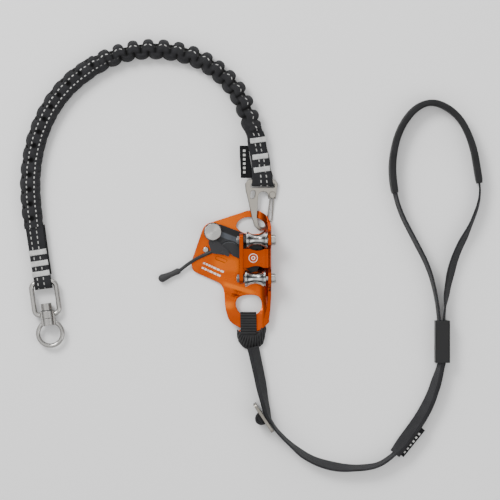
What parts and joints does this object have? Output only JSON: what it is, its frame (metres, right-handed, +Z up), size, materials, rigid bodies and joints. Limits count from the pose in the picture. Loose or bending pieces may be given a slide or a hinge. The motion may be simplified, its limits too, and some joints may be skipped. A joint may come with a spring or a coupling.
{
  "type": "rope grab",
  "caption": "Rope grab for climbing a fixed line: toothed cam and guide rollers in a folded plate, with an elastic lanyard, snap hook and swivel, and an adjustable foot strap.",
  "frame": {"origin": "centre of the ascender's footprint, on the flat back it lies on", "axes": "+Z up out of the ascender's front, +Y along the rope towards the lanyard, +X towards the closed wall of the rope channel"},
  "size_m": [0.4627, 0.4302, 0.0307],
  "materials": {
    "plate_orange": "orange anodised, satin",
    "cam_black": "black coated cast steel, satin",
    "steel_bright": "turned stainless, bright",
    "steel_polished": "polished stainless",
    "steel_dull": "stainless, dull",
    "spring_steel": "spring wire",
    "bush_bronze": "sintered bronze",
    "trigger_black": "black moulded nylon, satin",
    "cable_black": "black plastic cover",
    "knob_black": "black moulded rubber, matte",
    "hook_steel": "satin stainless",
    "hook_wire": "drawn stainless wire",
    "swivel_steel": "forged steel, satin zinc",
    "web_black": "black polyamide webbing",
    "sleeve_black": "black tubular webbing, gathered, with reflective tracer",
    "core_grey": "elastic cord",
    "tack_white": "white bar-tack thread",
    "tag_black": "woven black tag",
    "tube_black": "black woven protective tube",
    "keeper_black": "black moulded sleeve"
  },
  "bodies": {
    "ascender": {"frame_plate": "plate_orange", "cam_axle": "steel_bright", "cam_washer": "steel_dull", "cam_stop_pin": "steel_dull", "roller_bolts": "steel_bright", "roller_nuts": "steel_dull", "roller_spacers": "steel_dull", "hook_body": "hook_steel", "hook_gate_rivet": "hook_steel", "hook_end_webbing": "web_black", "hook_end_bartacks": "tack_white", "lanyard_tag": "tag_black", "lanyard_sleeve": "sleeve_black", "lanyard_core": "core_grey", "swivel_yoke": "swivel_steel", "swivel_washer": "steel_dull", "swivel_end_webbing": "web_black", "swivel_end_bartacks": "tack_white", "strap_hitch": "web_black", "strap_upper": "web_black", "strap_buckle": "hook_steel", "strap_wrap": "web_black", "strap_lower": "web_black", "strap_splice": "web_black", "strap_tag": "tag_black", "foot_loop": "web_black", "foot_loop_tube": "tube_black"},
    "cam_lever": {"cam": "cam_black", "trigger_pin": "steel_dull", "cam_spring": "spring_steel", "trigger_spring": "spring_steel"},
    "release": {"trigger": "trigger_black", "trigger_cable": "cable_black", "trigger_knob": "knob_black"},
    "upper_wheel": {"upper_roller": "steel_polished", "upper_roller_bush": "bush_bronze"},
    "lower_wheel": {"lower_roller": "steel_polished", "lower_roller_bush": "bush_bronze"},
    "gate": {"hook_gate": "hook_wire"},
    "swivel_eye": {"swivel_ring": "swivel_steel", "swivel_nut": "swivel_steel"},
    "keeper": {"keeper_sleeve": "keeper_black"}
  },
  "joints": [
    {"name": "cam_swing", "type": "hinge", "parent": "ascender", "child": "cam_lever", "pos_m": [-0.0039, 0.0392, 0.009], "axis": [0, 0, 1], "range_deg": [-40, 0], "stiffness_Nm_per_rad": 0.12, "springref_deg": 20.05},
    {"name": "release_lever", "type": "hinge", "parent": "cam_lever", "child": "release", "pos_m": [-0.004, 0.0282, 0.015], "axis": [0, 0, 1], "range_deg": [-12, 0], "stiffness_Nm_per_rad": 0.03, "springref_deg": 14.32},
    {"name": "upper_roller_turn", "type": "hinge", "parent": "ascender", "child": "upper_wheel", "pos_m": [0.0398, 0.031, 0.0225], "axis": [1, 0, 0], "continuous": true},
    {"name": "lower_roller_turn", "type": "hinge", "parent": "ascender", "child": "lower_wheel", "pos_m": [0.0383, -0.0073, 0.0225], "axis": [1, 0, 0], "continuous": true},
    {"name": "hook_gate_swing", "type": "hinge", "parent": "ascender", "child": "gate", "pos_m": [0.056, 0.07649, 0.00289], "axis": [0.2434, -0.0869, 0.966], "range_deg": [-4, 0], "stiffness_Nm_per_rad": 0.02, "springref_deg": 17.19},
    {"name": "swivel_turn", "type": "hinge", "parent": "ascender", "child": "swivel_eye", "pos_m": [-0.1703, -0.04, 0.008], "axis": [0.1392, -0.9901, -0.0175], "continuous": true},
    {"name": "keeper_slide", "type": "slide", "parent": "ascender", "child": "keeper", "axis": [0, 1, 0], "range_m": [0, 0.008]}
  ]
}
